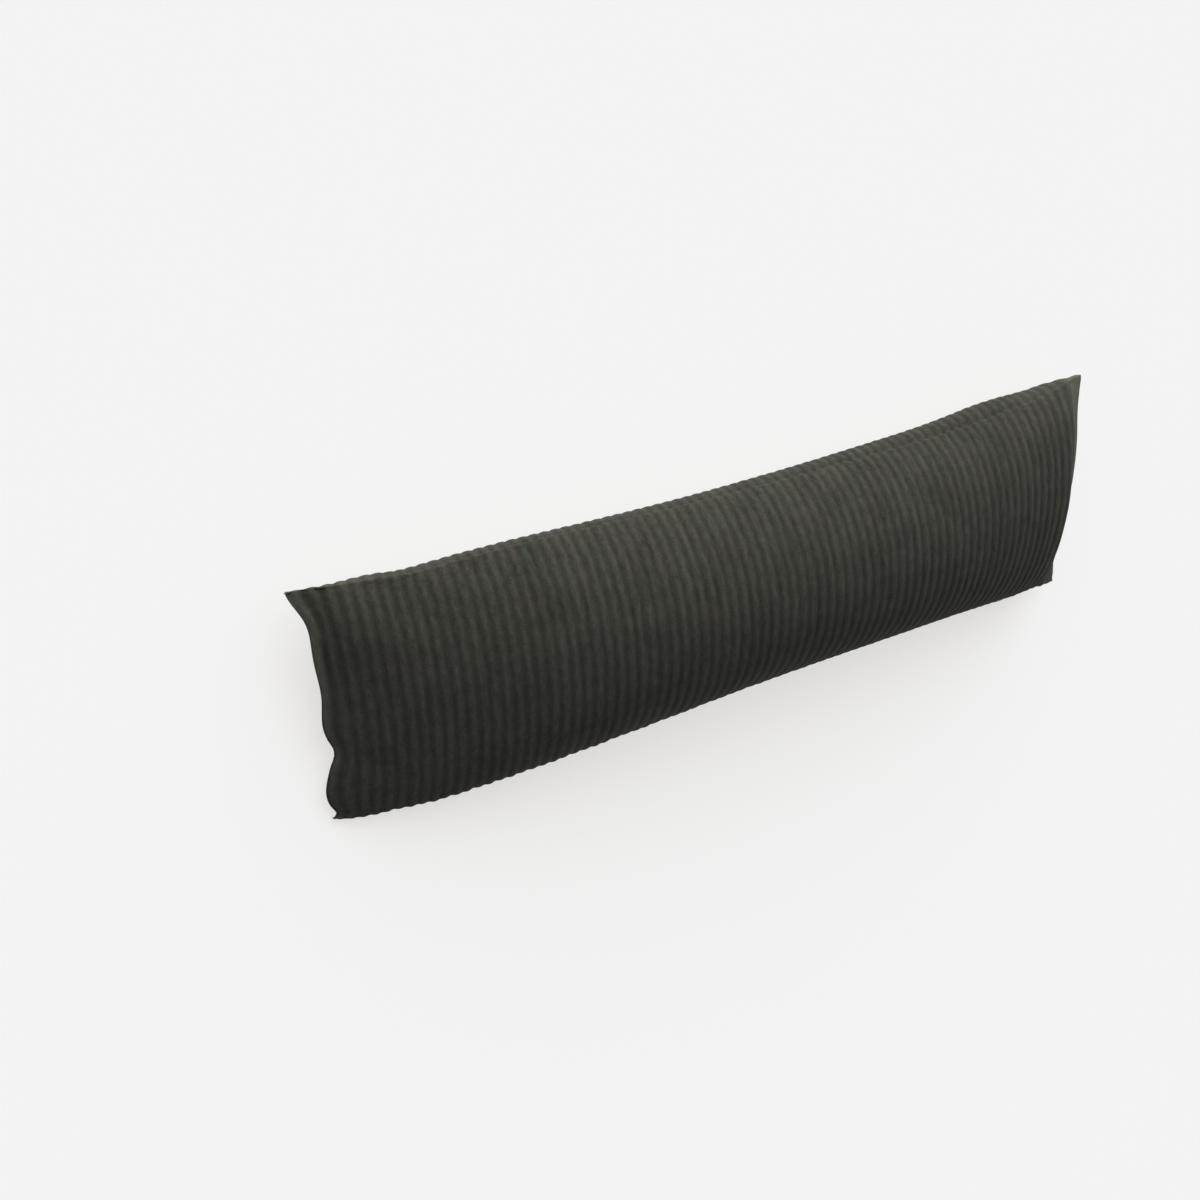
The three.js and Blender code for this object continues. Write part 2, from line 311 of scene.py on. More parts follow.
@dataclass
class CushionForm:
    """The filled shape of the cushion, worked out from its cuts, ends and ears."""

    sections: tuple[Section, ...] = (
        Section(-510, 47, 30, 5, 6, 0),
        Section(-450, 48, 28, 0, 4, 2),
        Section(-400, 49, 31, -5, 1, 4),
        Section(-345, 50, 39, -2, 0, 6),
        Section(-250, 51, 52, 2, -2, 8),
        Section(-125, 52, 63, 3, -2, 12),
        Section(0, 52, 69, 3, -1, 18),
        Section(125, 52, 71, 3, -2, 24),
        Section(250, 51, 68, 1, -3, 30),
        Section(350, 50, 59, -2, -2, 34),
        Section(430, 49, 46, -3, -2, 26),
        Section(475, 48, 35, -1, 0, 14),
        Section(510, 47, 24, 3, 3, 8),
    )
    ends: tuple[End, ...] = (End(-1, 90, -6), End(1, 40, 20))
    ears: tuple[Ear, ...] = (
        Ear(-1, 1, 19, 20, 3),
        Ear(-1, -1, 2, -42, 9),
        Ear(1, 1, 8, 16, 1),
        Ear(1, -1, 18, -28, 2),
    )
    bends: tuple[Bend, ...] = (
        Bend(-1, 72, 20, 30, -9),
        Bend(-1, -14, 20, 20, 8),
        Bend(-1, -38, 16, 9, -4),
        Bend(-1, -76, 22, 30, 13),
        Bend(-1, -118, 16, 14, -3),
        Bend(1, 25, 16, 34, 6),
        Bend(1, 4, 14, 10, 3),
        Bend(1, -60, 16, 24, -2),
    )
    face_fullness: float = 0.6
    wall_depth: float = 50.0
    wall_share: float = 2 / 3
    columns: int = 2 * WALE_COUNT
    rows: int = 36
    halvings: int = 30
    cloth_steps: int = 60
    least_advance: float = 0.05

    def read(self, column: str, stations: np.ndarray) -> np.ndarray:
        """Reads one column of the cuts by a smooth curve that never overshoots.

        Args:
            column: Name of the value that is read.
            stations: Places along the flat panel.

        Returns:
            The value at each station.
        """
        places = np.array([section.station for section in self.sections])
        values = np.array([getattr(section, column) for section in self.sections], dtype=float)
        secants = np.diff(values) / np.diff(places)
        before, after = secants[:-1], secants[1:]
        same_way = before * after > 0
        safe = np.where(same_way, before + after, 1.0)
        inner = np.where(same_way, 2 * before * after / safe, 0.0)
        slopes = np.concatenate([secants[:1], inner, secants[-1:]])
        i = np.clip(np.searchsorted(places, stations) - 1, 0, len(places) - 2)
        span = places[i + 1] - places[i]
        f = (stations - places[i]) / span
        g = 1 - f
        level = (1 + 2 * f) * g * g * values[i] + (1 + 2 * g) * f * f * values[i + 1]
        return level + f * g * span * (g * slopes[i] - f * slopes[i + 1])

    def fill_at(self, stations: np.ndarray) -> np.ndarray:
        """Says how far the filling has risen.

        Args:
            stations: Places along the flat panel.

        Returns:
            0 at an end seam and 1 past the rise.
        """
        left, right = self.ends
        rise = np.where(stations < 0, left.rise, right.rise)
        inside = CUT_LENGTH / 2 - np.abs(stations)
        return np.sin(np.clip(inside / rise, 0, 1) * np.pi / 2)

    def face_height(self, crown: np.ndarray, t: np.ndarray) -> np.ndarray:
        """Gives the height of the face above its seams.

        Args:
            crown: Height at the middle of each cut.
            t: Places across, from -1 at the lower seam to 1 at the upper one.

        Returns:
            The height for each crown and place.
        """
        return crown * np.maximum(1 - t * t, 0) ** self.face_fullness

    def half_width_under(self, crown: np.ndarray) -> np.ndarray:
        """Finds how far the sides draw in under a crown, as the cloth doesn't stretch.

        Args:
            crown: Height at the middle of each cut.

        Returns:
            Half the width that is left, for each crown.
        """
        t = np.sin(np.linspace(0, np.pi / 2, self.cloth_steps + 1))
        rises = np.diff(self.face_height(crown[:, None], t[None, :]), axis=1)
        narrow = np.zeros_like(crown)
        wide = np.full_like(crown, CUT_WIDTH / 2)
        for _ in range(self.halvings):
            middle = (narrow + wide) / 2
            cloth = np.hypot(middle[:, None] * np.diff(t)[None, :], rises).sum(axis=1)
            short = cloth < CUT_WIDTH / 2
            narrow = np.where(short, middle, narrow)
            wide = np.where(short, wide, middle)
        return (narrow + wide) / 2

    def fade(self, side: int, stations: np.ndarray, quantity: Quantity) -> np.ndarray:
        """Says how much is left of what an end adds at its seam.

        Args:
            side: -1 for the left end and 1 for the right one.
            stations: Places along the flat panel.
            quantity: What the end adds.

        Returns:
            1 at the end seam, and falling away from it.
        """
        return np.exp((side * stations - CUT_LENGTH / 2) / quantity.fade_length)

    def ear_offset(self, quantity: Quantity, stations: np.ndarray, t: np.ndarray) -> np.ndarray:
        """Adds up what the ears give.

        Args:
            quantity: Which of the ears' values is added up.
            stations: Places along the flat panel.
            t: Places across it.

        Returns:
            The sum for each station and place.
        """
        total = np.zeros(np.broadcast(stations, t).shape)
        for ear in self.ears:
            across = ((1 + ear.seam * t) / 2) ** 2
            given = getattr(ear, quantity.column)
            total = total + given * self.fade(ear.end, stations, quantity) * across
        return total

    def bend_outward(self, stations: np.ndarray, across: np.ndarray) -> np.ndarray:
        """Adds up how far the bends push the cloth away from the middle.

        Args:
            stations: Places along the flat panel.
            across: Places across it, in millimetres.

        Returns:
            The sum for each station and place.
        """
        total = np.zeros(np.broadcast(stations, across).shape)
        for bend in self.bends:
            inward = (bend.end * CUT_LENGTH / 2 - stations) / bend.along
            beside = (across - bend.across) / bend.aside
            total = total + bend.shift * np.exp(-(inward**2) - beside**2)
        return total

    def grid(self) -> ClothGrid:
        """Lays both panels over the filling.

        Returns:
            The grid of both panels, with the middle column at X = 0.
        """
        stations = np.linspace(-CUT_LENGTH / 2, CUT_LENGTH / 2, self.columns + 1)
        steps = np.linspace(-1, 1, self.rows + 1)
        s = stations[:, None]
        u = steps[None, :]
        t = np.sin(u * np.pi / 2)
        fill = self.fill_at(s)
        crown = self.read("crown", stations) * fill[:, 0]
        half = self.half_width_under(crown)
        upper = half + self.read("upper", stations)
        lower = self.read("lower", stations) - half

        def across_at(place: np.ndarray) -> np.ndarray:
            """Gives the place across the cushion before the walls bulge, at each t."""
            middle = ((upper + lower) / 2)[:, None]
            spread = ((upper - lower) / 2)[:, None]
            return middle + spread * place + self.ear_offset(Quantity.SHIFT, s, place)

        arch = sum(end.arch * self.fade(end.side, s, Quantity.ARCH) for end in self.ends)
        level = self.read("seam", stations)[:, None] + arch * (1 - t * t)
        level = level + self.ear_offset(Quantity.LIFT, s, t)
        face_y = across_at(t)
        face_z = level + self.face_height(crown[:, None], t)

        roll = np.radians(self.read("roll", stations))[:, None]
        down = np.minimum((1 - np.abs(u)) / self.wall_share, 1)
        angle = roll + (-np.pi / 2 - roll) * down
        depth = (np.sin(roll) - np.sin(angle)) / (1 + np.sin(roll))
        inward = self.wall_depth * (np.cos(roll) - np.cos(angle))
        wall = across_at(np.sign(u)) - np.sign(u) * inward
        filled = wall * np.minimum(np.abs(u) / (1 - self.wall_share), 1)
        back_y = face_y * (1 - fill) + filled * fill
        back_z = level * (1 - fill * depth)

        x = self.lay_along(face_z, stations[1] - stations[0])
        outward = self.ear_offset(Quantity.REACH, s, t) + self.bend_outward(s, u * CUT_WIDTH / 2)
        x = x + np.sign(s) * outward
        face = np.stack([x, face_y, face_z], axis=2)
        back = np.stack([x, back_y, back_z], axis=2)
        seam = ClothGrid(face, back, stations, steps).seam_mask()
        back[seam] = face[seam]
        return ClothGrid(face, back, stations, steps)

    def lay_along(self, heights: np.ndarray, column_step: float) -> np.ndarray:
        """Spreads the columns along X, so that the cloth of the face keeps its length.

        Args:
            heights: Height of each point of the face.
            column_step: Cloth between two columns.

        Returns:
            X for each point.
        """
        level = np.sqrt(np.maximum(column_step**2 - np.diff(heights, axis=0) ** 2, 0))
        advance = np.maximum(level, self.least_advance * column_step)
        x = np.concatenate([np.zeros((1, heights.shape[1])), np.cumsum(advance, axis=0)])
        return x - x[len(x) // 2]


@dataclass
class Filling:
    """The stuffing, which presses the cloth out in a short simulation."""

    pressure: float = 4.0
    last_frame: int = 20
    start_inside: float = 1.0
    most_move: float = 4.0
    broad_reach: int = 5
    broad_passes: int = 3
    pinned_near_seam: float = 14.0
    pinned_near_floor: float = 4.0
    quality: int = 6
    point_mass: float = 0.3
    stretch_stiffness: float = 25.0
    shear_stiffness: float = 12.0
    bending_stiffness: float = 4.0

    def press(self, grid: ClothGrid) -> ClothGrid:
        """Presses the cloth out from inside.

        Args:
            grid: The form that it starts from.

        Returns:
            The form with the soft swell of a stuffed cover.
        """
        points = grid.points()
        normals = grid.normals()
        held = self.held(grid)
        start = points - normals * (self.start_inside * (1 - held))[:, None]
        pressed = self.simulate(start, grid.quads(), held)
        swell = ((pressed - points) * normals).sum(axis=1)
        local = swell - grid.gather(*(self.broaden(panel) for panel in grid.scatter(swell)))
        allowed = self.most_move * (1 - held)
        settled = points + normals * np.clip(local, -allowed, allowed)[:, None]
        settled[:, 2] = np.maximum(settled[:, 2], 0)
        return grid.moved(settled - points)

    def broaden(self, values: np.ndarray) -> np.ndarray:
        """Takes the broad trend of values on a panel.

        Args:
            values: One value for each column and row.

        Returns:
            The values, averaged over their surroundings.
        """
        reach = self.broad_reach
        width = 2 * reach + 1
        for _ in range(self.broad_passes):
            for axis in (0, 1):
                rows = np.moveaxis(values, axis, 0)
                padded = np.concatenate([rows[:1]] * reach + [rows] + [rows[-1:]] * reach)
                rows = sum(padded[k : k + len(rows)] for k in range(width)) / width
                values = np.moveaxis(rows, 0, axis)
        return values

    def held(self, grid: ClothGrid) -> np.ndarray:
        """Says how firmly each point is held, by the stitches or by the floor.

        Args:
            grid: The form that the cloth starts from.

        Returns:
            1 for a point that can't move, and 0 for a free one.
        """
        points = grid.points()
        edge = seam_distance(grid)
        by_seam = np.clip(1 - edge / self.pinned_near_seam, 0, 1)
        by_floor = np.clip(1 - (points[:, 2] - 1) / self.pinned_near_floor, 0, 1)
        return np.maximum(by_seam, by_floor)

    def simulate(self, start: np.ndarray, quads: np.ndarray, held: np.ndarray) -> np.ndarray:
        """Runs the cloth simulation.

        Args:
            start: Every point at the start.
            quads: The corners of every quad.
            held: How firmly each point is held.

        Returns:
            Every point at the end.
        """
        mesh = new_mesh("stuffing", start * MM, quads)
        cover = bpy.data.objects.new("stuffing", mesh)
        bpy.context.scene.collection.objects.link(cover)
        group = cover.vertex_groups.new(name="held")
        for number, weight in enumerate(held):
            if weight > 0:
                group.add([number], float(weight), "REPLACE")
        cloth = cover.modifiers.new("cloth", "CLOTH")
        settings = cloth.settings
        settings.quality = self.quality
        settings.mass = self.point_mass
        settings.tension_stiffness = self.stretch_stiffness
        settings.compression_stiffness = self.stretch_stiffness
        settings.shear_stiffness = self.shear_stiffness
        settings.bending_stiffness = self.bending_stiffness
        settings.vertex_group_mass = group.name
        settings.use_pressure = True
        settings.uniform_pressure_force = self.pressure
        settings.effector_weights.gravity = 0
        cloth.collision_settings.use_collision = False
        cloth.point_cache.frame_start = 1
        cloth.point_cache.frame_end = self.last_frame
        scene = bpy.context.scene
        for number in range(1, self.last_frame + 1):
            scene.frame_set(number)
        evaluated = cover.evaluated_get(bpy.context.evaluated_depsgraph_get())
        result = np.empty(len(start) * 3)
        evaluated.data.vertices.foreach_get("co", result)
        scene.frame_set(1)
        bpy.data.objects.remove(cover)
        bpy.data.meshes.remove(mesh)
        return result.reshape(-1, 3) / MM


def seam_distance(grid: ClothGrid) -> np.ndarray:
    """Measures the cloth between each point and the nearest seam.

    Args:
        grid: The form of the cushion.

    Returns:
        The distance in millimetres for each point of the closed mesh.
    """
    to_side = CUT_WIDTH / 2 * (1 - np.abs(grid.steps))[None, :]
    to_end = (CUT_LENGTH / 2 - np.abs(grid.stations))[:, None]
    distance = np.minimum(to_side, to_end)
    return grid.gather(distance, distance)


def new_mesh(name: str, points: np.ndarray, quads: np.ndarray) -> bpy.types.Mesh:
    """Makes a mesh.

    Args:
        name: Its name.
        points: Its points, in metres.
        quads: The corners of its faces.

    Returns:
        The mesh, shaded smooth.
    """
    mesh = bpy.data.meshes.new(name)
    mesh.from_pydata(points.tolist(), [], quads.tolist())
    mesh.shade_smooth()
    mesh.update()
    return mesh


@dataclass
class Creases:
    """The dents, swellings and seam puckers that the filled cover shows."""

    folds: tuple[Fold, ...] = (
        Fold(-488, 50, 9, 70, -4),
        Fold(-425, 150, 26, 22, 4),
        Fold(400, 180, 60, 28, 4),
        Fold(475, 165, 30, 28, 3),
    )
    pucker_height: float = 0.8
    pucker_length: float = 38.0
    pucker_reach: float = 26.0
    pucker_waves: int = 7
    pucker_spread: tuple[float, float] = (0.7, 1.9)
    pucker_slant: tuple[float, float] = (0.4, 1.0)
    groove_depth: float = 1.8
    groove_reach: float = 3.2
    floor_fade: float = 20.0
    seed: int = 11

    def lay(self, grid: ClothGrid) -> ClothGrid:
        """Folds the cloth and draws the seams in.

        Args:
            grid: The form without them.

        Returns:
            The form with them.
        """
        s = np.broadcast_to(grid.stations[:, None], grid.face.shape[:2])
        v = np.broadcast_to(CUT_WIDTH / 2 * grid.steps[None, :], grid.face.shape[:2])
        over_side = np.where(v < 0, -1, 1) * CUT_WIDTH - v
        over_end = np.where(s < 0, -1, 1) * CUT_LENGTH - s
        face = np.zeros(s.shape)
        back = np.zeros(s.shape)
        for fold in self.folds:
            face += fold.height * fold.weight(s, v)
            back += fold.height * np.maximum(fold.weight(s, over_side), fold.weight(over_end, v))
        height = grid.gather(face, back)
        edge = seam_distance(grid)
        height -= self.groove_depth * np.exp(-((edge / self.groove_reach) ** 2))
        puckers = self.pucker_at(s, v)
        waves = grid.gather(puckers, puckers) * np.exp(-edge / self.pucker_reach)
        points = grid.points() + grid.normals() * height[:, None]
        points[:, 2] = np.maximum(points[:, 2] + waves * self.clear_of_floor(points[:, 2]), 0)
        return grid.moved(points - grid.points())

    def clear_of_floor(self, heights: np.ndarray) -> np.ndarray:
        """Returns 0 for points on the floor, rising to 1 well above it."""
        return np.clip(heights / self.floor_fade, 0, 1)

    def pucker_at(self, along: np.ndarray, across: np.ndarray) -> np.ndarray:
        """Adds up the small waves of the seams.

        Args:
            along: Stations on the cut.
            across: Places across the cut.

        Returns:
            The height of the waves before they die out from the seam.
        """
        rng = np.random.default_rng(self.seed)
        total = np.zeros(along.shape)
        for _ in range(self.pucker_waves):
            length = self.pucker_length * rng.uniform(*self.pucker_spread)
            side = rng.uniform(*self.pucker_slant)
            phase = rng.uniform(0, 2 * np.pi)
            total += np.sin(2 * np.pi * (along + side * across) / length + phase)
        return self.pucker_height * total / math.sqrt(self.pucker_waves)


@dataclass
class RibNodes:
    """The node tree that raises the ribs of the corduroy along the cloth."""

    relief: float = 1.2
    roundness: float = 0.8
    seam_fade: float = 7.0
    rest_fade: float = 9.0
    wander: float = 0.05
    unevenness: float = 0.16
    wander_scale: float = 9.0
    uneven_scale: float = 30.0
    uneven_seed_step: float = 17.0
    seed: int = 4
    name: str = "corduroy_ribs"
    sockets: dict[str, str] = field(default_factory=dict)

    def input(self, tree: bpy.types.NodeTree, name: str, kind: str, value: object) -> None:
        """Adds one named input to the tree.

        Args:
            tree: The tree.
            name: The name of the input.
            kind: The type of its socket.
            value: Its default value, or None.
        """
        socket = tree.interface.new_socket(name=name, in_out="INPUT", socket_type=kind)
        if value is not None:
            socket.default_value = value
        self.sockets[name] = socket.identifier

    def build(self) -> bpy.types.NodeTree:
        """Builds the tree.

        Returns:
            The tree, which ends in Realize Instances and Set Material.
        """
        tree = bpy.data.node_groups.new(self.name, "GeometryNodeTree")
        tree.is_modifier = True
        self.input(tree, "Geometry", "NodeSocketGeometry", None)
        for name in ("Relief", "Roundness", "Seam Fade", "Rest Fade", "Wander", "Unevenness"):
            self.input(tree, name, "NodeSocketFloat", 0.0)
        self.input(tree, "Seed", "NodeSocketInt", 0)
        self.input(tree, "Material", "NodeSocketMaterial", None)
        tree.interface.new_socket(
            name="Geometry", in_out="OUTPUT", socket_type="NodeSocketGeometry"
        )
        net = Wiring(tree)
        given = tree.nodes.new("NodeGroupInput").outputs
        result = tree.nodes.new("NodeGroupOutput")
        wale = self.attribute(tree, "wale")
        edge = self.attribute(tree, "edge")
        place = tree.nodes.new("GeometryNodeInputPosition").outputs[0]
        height = net.parts(place)["Z"]

        drift = net.noise(place, self.wander_scale, given["Seed"])
        phase = net.math("ADD", wale, net.math("MULTIPLY", drift, given["Wander"]))
        wave = net.math("COSINE", net.math("MULTIPLY", phase, 2 * math.pi))
        bump = net.math("MULTIPLY_ADD", wave, -0.5, 0.5)
        crest = net.math("POWER", bump, given["Roundness"])

        uneven_seed = net.math("ADD", given["Seed"], self.uneven_seed_step)
        soft = net.noise(place, self.uneven_scale, uneven_seed)
        uneven = net.math("MULTIPLY_ADD", soft, given["Unevenness"], 1.0)
        by_seam = net.math("MINIMUM", net.math("DIVIDE", edge, given["Seam Fade"]), 1.0)
        by_rest = net.math("MINIMUM", net.math("DIVIDE", height, given["Rest Fade"]), 1.0)
        shown = net.math("MAXIMUM", net.math("MINIMUM", by_seam, by_rest), 0.0)
        rise = net.math("MULTIPLY", net.math("SUBTRACT", crest, 0.5), given["Relief"])
        rise = net.math("MULTIPLY", net.math("MULTIPLY", rise, uneven), shown)

        normal = tree.nodes.new("GeometryNodeInputNormal").outputs[0]
        push = net.scale(normal, rise)
        set_position = tree.nodes.new("GeometryNodeSetPosition")
        realize = tree.nodes.new("GeometryNodeRealizeInstances")
        dress = tree.nodes.new("GeometryNodeSetMaterial")
        tree.links.new(given["Geometry"], set_position.inputs["Geometry"])
        tree.links.new(push, set_position.inputs["Offset"])
        tree.links.new(set_position.outputs[0], realize.inputs[0])
        tree.links.new(realize.outputs[0], dress.inputs["Geometry"])
        tree.links.new(given["Material"], dress.inputs["Material"])
        tree.links.new(dress.outputs[0], result.inputs[0])
        return tree

    def attribute(self, tree: bpy.types.NodeTree, name: str) -> bpy.types.NodeSocket:
        """Reads a value that the mesh carries.

        Args:
            tree: The tree.
            name: Name of the value.

        Returns:
            The socket that gives it.
        """
        node = tree.nodes.new("GeometryNodeInputNamedAttribute")
        node.data_type = "FLOAT"
        node.inputs["Name"].default_value = name
        return node.outputs["Attribute"]

    def raise_on(self, cover: bpy.types.Object, material: bpy.types.Material) -> bpy.types.Object:
        """Raises the ribs and makes the result a plain mesh.

        Args:
            cover: The smooth cover, which is removed.
            material: The finish that the tree sets.

        Returns:
            The ribbed cover.
        """
        modifier = cover.modifiers.new(self.name, "NODES")
        modifier.node_group = self.build()
        values = {
            "Relief": self.relief * MM,
            "Roundness": self.roundness,
            "Seam Fade": self.seam_fade,
            "Rest Fade": self.rest_fade * MM,
            "Wander": self.wander,
            "Unevenness": self.unevenness,
            "Seed": self.seed,
            "Material": material,
        }
        for name, value in values.items():
            modifier[self.sockets[name]] = value
        evaluated = cover.evaluated_get(bpy.context.evaluated_depsgraph_get())
        mesh = bpy.data.meshes.new_from_object(evaluated)
        name = cover.name
        cover.modifiers.remove(modifier)
        bpy.data.objects.remove(cover)
        mesh.name = name
        ribbed = bpy.data.objects.new(name, mesh)
        bpy.context.scene.collection.objects.link(ribbed)
        return ribbed


@dataclass
class Wiring:
    """Short ways to add nodes to a tree, for shapes and for finishes."""

    tree: bpy.types.NodeTree

    def feed(self, socket: bpy.types.NodeSocket, value: object) -> None:
        """Gives a socket a link or a plain value.

        Args:
            socket: The input.
            value: Another node's output, or a value.
        """
        if isinstance(value, bpy.types.NodeSocket):
            self.tree.links.new(value, socket)
        else:
            socket.default_value = value

    def math(self, operation: str, *values: object) -> bpy.types.NodeSocket:
        """Works out a number.

        Args:
            operation: What is done.
            *values: What it is done with.

        Returns:
            The result.
        """
        node = self.tree.nodes.new("ShaderNodeMath")
        node.operation = operation
        for socket, value in zip(node.inputs, values):
            self.feed(socket, value)
        return node.outputs[0]

    def clamp(self, value: object) -> bpy.types.NodeSocket:
        """Returns the value, kept between 0 and 1."""
        return self.math("MAXIMUM", self.math("MINIMUM", value, 1.0), 0.0)

    def scale(self, vector: object, factor: object) -> bpy.types.NodeSocket:
        """Makes a vector longer or shorter.

        Args:
            vector: The vector.
            factor: By how much.

        Returns:
            The new vector.
        """
        node = self.tree.nodes.new("ShaderNodeVectorMath")
        node.operation = "SCALE"
        self.feed(node.inputs["Vector"], vector)
        self.feed(node.inputs["Scale"], factor)
        return node.outputs[0]

    def dot(self, vector: object, other: object) -> bpy.types.NodeSocket:
        """Multiplies two vectors to a number.

        Args:
            vector: A vector.
            other: A vector.

        Returns:
            How far they point the same way.
        """
        node = self.tree.nodes.new("ShaderNodeVectorMath")
        node.operation = "DOT_PRODUCT"
        self.feed(node.inputs[0], vector)
        self.feed(node.inputs[1], other)
        return node.outputs["Value"]

    def parts(self, vector: bpy.types.NodeSocket) -> bpy.types.bpy_prop_collection:
        """Splits a vector.

        Args:
            vector: The vector.

        Returns:
            Its X, Y and Z.
        """
        node = self.tree.nodes.new("ShaderNodeSeparateXYZ")
        self.tree.links.new(vector, node.inputs[0])
        return node.outputs

    def vector(self, x: object, y: object, z: object) -> bpy.types.NodeSocket:
        """Puts a vector together.

        Args:
            x: Its X.
            y: Its Y.
            z: Its Z.

        Returns:
            The vector.
        """
        node = self.tree.nodes.new("ShaderNodeCombineXYZ")
        for socket, value in zip(node.inputs, (x, y, z)):
            self.feed(socket, value)
        return node.outputs[0]

    def noise(
        self, place: object, scale: float, seed: object = 0.0, detail: float = 2.0
    ) -> bpy.types.NodeSocket:
        """Makes soft noise.

        Args:
            place: Where it is read.
            scale: How fine it is, in waves a metre.
            seed: Which noise it is.
            detail: How many finer layers it has.

        Returns:
            Noise between about -1 and 1.
        """
        node = self.tree.nodes.new("ShaderNodeTexNoise")
        node.noise_dimensions = "4D"
        self.feed(node.inputs["Vector"], place)
        self.feed(node.inputs["W"], seed)
        node.inputs["Scale"].default_value = scale
        node.inputs["Detail"].default_value = detail
        return self.math("MULTIPLY_ADD", node.outputs[0], 2.0, -1.0)

    def blend(self, factor: object, first: object, second: object) -> bpy.types.NodeSocket:
        """Blends two colours.

        Args:
            factor: 0 for the first and 1 for the second.
            first: A colour.
            second: A colour.

        Returns:
            The blend.
        """
        node = self.tree.nodes.new("ShaderNodeMix")
        node.data_type = "RGBA"
        self.feed(node.inputs["Factor"], factor)
        self.feed(node.inputs["A"], first)
        self.feed(node.inputs["B"], second)
        return node.outputs["Result"]


@dataclass(frozen=True)
class Grain:
    """One layer of noise: its waves a metre or a unit, its seed and its finer layers."""

    scale: float
    seed: float
    detail: float

    def lay(self, net: Wiring, place: object) -> bpy.types.NodeSocket:
        """Returns the noise at a place, between about -1 and 1."""
        return net.noise(place, self.scale, self.seed, self.detail)


@dataclass(frozen=True)
class Corduroy:
    """The finish of the cloth: soft pile on the ribs, darker bare cloth between them, made darker
    still by painted shade in the grooves.

    The rib beside each end seam and the upper ears are paler. This is a painted highlight, which
    stands in for how the cloth faces the light there.
    """

    name: str = "corduroy"
    crest: tuple[float, float, float, float] = (0.0615, 0.0590, 0.0442, 1)
    # The valley colour is the darker bare cloth between the ribs, darkened further by painted shade
    # in the grooves.
    valley_and_groove_shade: tuple[float, float, float, float] = (0.0395, 0.0370, 0.0262, 1)
    warm: tuple[float, float, float, float] = (0.0690, 0.0550, 0.0425, 1)
    cool: tuple[float, float, float, float] = (0.0535, 0.0625, 0.0430, 1)
    tint: float = 0.5
    mottle: float = 0.55
    streak: float = 0.25
    fleck: float = 0.60
    patch: float = 0.30
    fray: float = 0.22
    pile_softness: float = 0.2
    frays: Grain = Grain(260.0, 3.0, 3.0)
    streaks: Grain = Grain(1.0, 5.0, 2.0)
    mottles: Grain = Grain(1.0, 7.0, 3.0)
    flecks: Grain = Grain(600.0, 9.0, 2.0)
    tints: Grain = Grain(34.0, 13.0, 3.0)
    patches: Grain = Grain(24.0, 15.0, 2.0)
    tufts: Grain = Grain(420.0, 21.0, 3.0)
    marks_each_wale: float = 2.6
    mottles_along: float = 0.10
    streaks_along: float = 0.025
    tint_contrast: float = 1.6
    # Painted highlight on the rib beside each end seam: its softness, its rise towards the upper
    # seam on the left end, its width, its extra width on the right end and its lightness.
    end_highlight_softness: float = 0.35
    end_highlight_ramp: float = 120.0
    end_highlight_width: float = 0.9
    end_highlight_widening: float = 0.6
    end_highlight_lightness: float = 0.70
    # Painted highlight on the upper ears: how far it reaches in from the end seams, how it rises
    # towards the upper seam, and its lightness.
    ear_highlight_width: float = 8.0
    ear_highlight_ramp: float = 90.0
    ear_highlight_lightness: float = 0.55
    sheen: float = 0.10
    roughness: float = 0.92
    roughness_swing: float = 0.05
    sheen_roughness: float = 0.5
    sheen_tint: tuple[float, float, float, float] = (0.45, 0.47, 0.43, 1)
    gloss: float = 0.12
    hair: float = 0.5
    pile_depth: float = 0.0006
    pile_strength: float = 0.6

    def build(self) -> bpy.types.Material:
        """Builds the material.

        Returns:
            The material.
        """
        material = bpy.data.materials.new(self.name)
        material.use_nodes = True
        tree = material.node_tree
        net = Wiring(tree)
        shader = tree.nodes["Principled BSDF"]
        place = tree.nodes.new("ShaderNodeTexCoord").outputs["Object"]
        wale = self.attribute(tree, "wale")
        across = self.attribute(tree, "across")

        wave = net.math("COSINE", net.math("MULTIPLY", wale, 2 * math.pi))
        ridge = net.math("MULTIPLY_ADD", wave, -0.5, 0.5)
        frayed = net.math("MULTIPLY_ADD", self.frays.lay(net, place), self.fray, ridge)
        pile = net.math("SMOOTH_MIN", net.math("MAXIMUM", frayed, 0.0), 1.0, self.pile_softness)

        # Painted highlight: the rib beside each end seam, on the left end only its upper part, is
        # given full pile colour and a paler shade.
        from_end = net.math("MINIMUM", wale, net.math("SUBTRACT", float(WALE_COUNT), wale))
        on_right = net.math("GREATER_THAN", wale, WALE_COUNT / 2)
        end_highlight_reach = net.math("MULTIPLY_ADD", on_right, self.end_highlight_widening, self.end_highlight_width)
        painted_end_highlight = net.math("DIVIDE", net.math("SUBTRACT", end_highlight_reach, from_end), self.end_highlight_softness)
        upward = net.clamp(net.math("MULTIPLY_ADD", across, 1 / self.end_highlight_ramp, 0.5))
        painted_end_highlight = net.math("MULTIPLY", net.clamp(painted_end_highlight), net.math("MAXIMUM", upward, on_right))
        pile = net.math("MAXIMUM", pile, painted_end_highlight)
        # Painted highlight on the upper ears, fading in from each end seam and away from the upper
        # seam.
        by_end = net.math("MULTIPLY_ADD", from_end, -1 / self.ear_highlight_width, 1.0)
        by_seam = net.clamp(net.math("MULTIPLY_ADD", across, 1 / self.ear_highlight_ramp, -0.5))
        ear = net.math("MULTIPLY", net.math("MAXIMUM", by_end, 0.0), by_seam)

        aside = net.math("MULTIPLY", wale, self.marks_each_wale)
        mottles_at = net.vector(aside, net.math("MULTIPLY", across, self.mottles_along), 0.0)
        streaks_at = net.vector(aside, net.math("MULTIPLY", across, self.streaks_along), 0.0)
        mottles = self.mottles.lay(net, mottles_at)
        flecks = self.flecks.lay(net, place)
